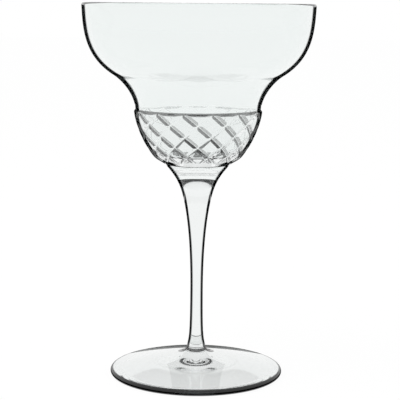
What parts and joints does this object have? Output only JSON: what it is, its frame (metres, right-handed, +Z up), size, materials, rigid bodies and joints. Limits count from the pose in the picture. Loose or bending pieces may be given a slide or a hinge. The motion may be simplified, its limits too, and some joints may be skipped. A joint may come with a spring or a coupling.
{
  "type": "margarita glass",
  "caption": "Stemmed margarita glass with a wide bowl stepped down to a cup cut with a diamond lattice, a flared drawn stem and a conical foot.",
  "frame": {"origin": "middle of the table plane under the foot, on the axis of the glass", "axes": "+Z up along the axis of the glass to the rim, X and Y level"},
  "size_m": [0.108, 0.108, 0.175],
  "materials": {
    "glass": "clear fire-polished glass"
  },
  "bodies": {
    "root": {"bowl": "glass", "stem": "glass", "foot": "glass"}
  },
  "joints": []
}
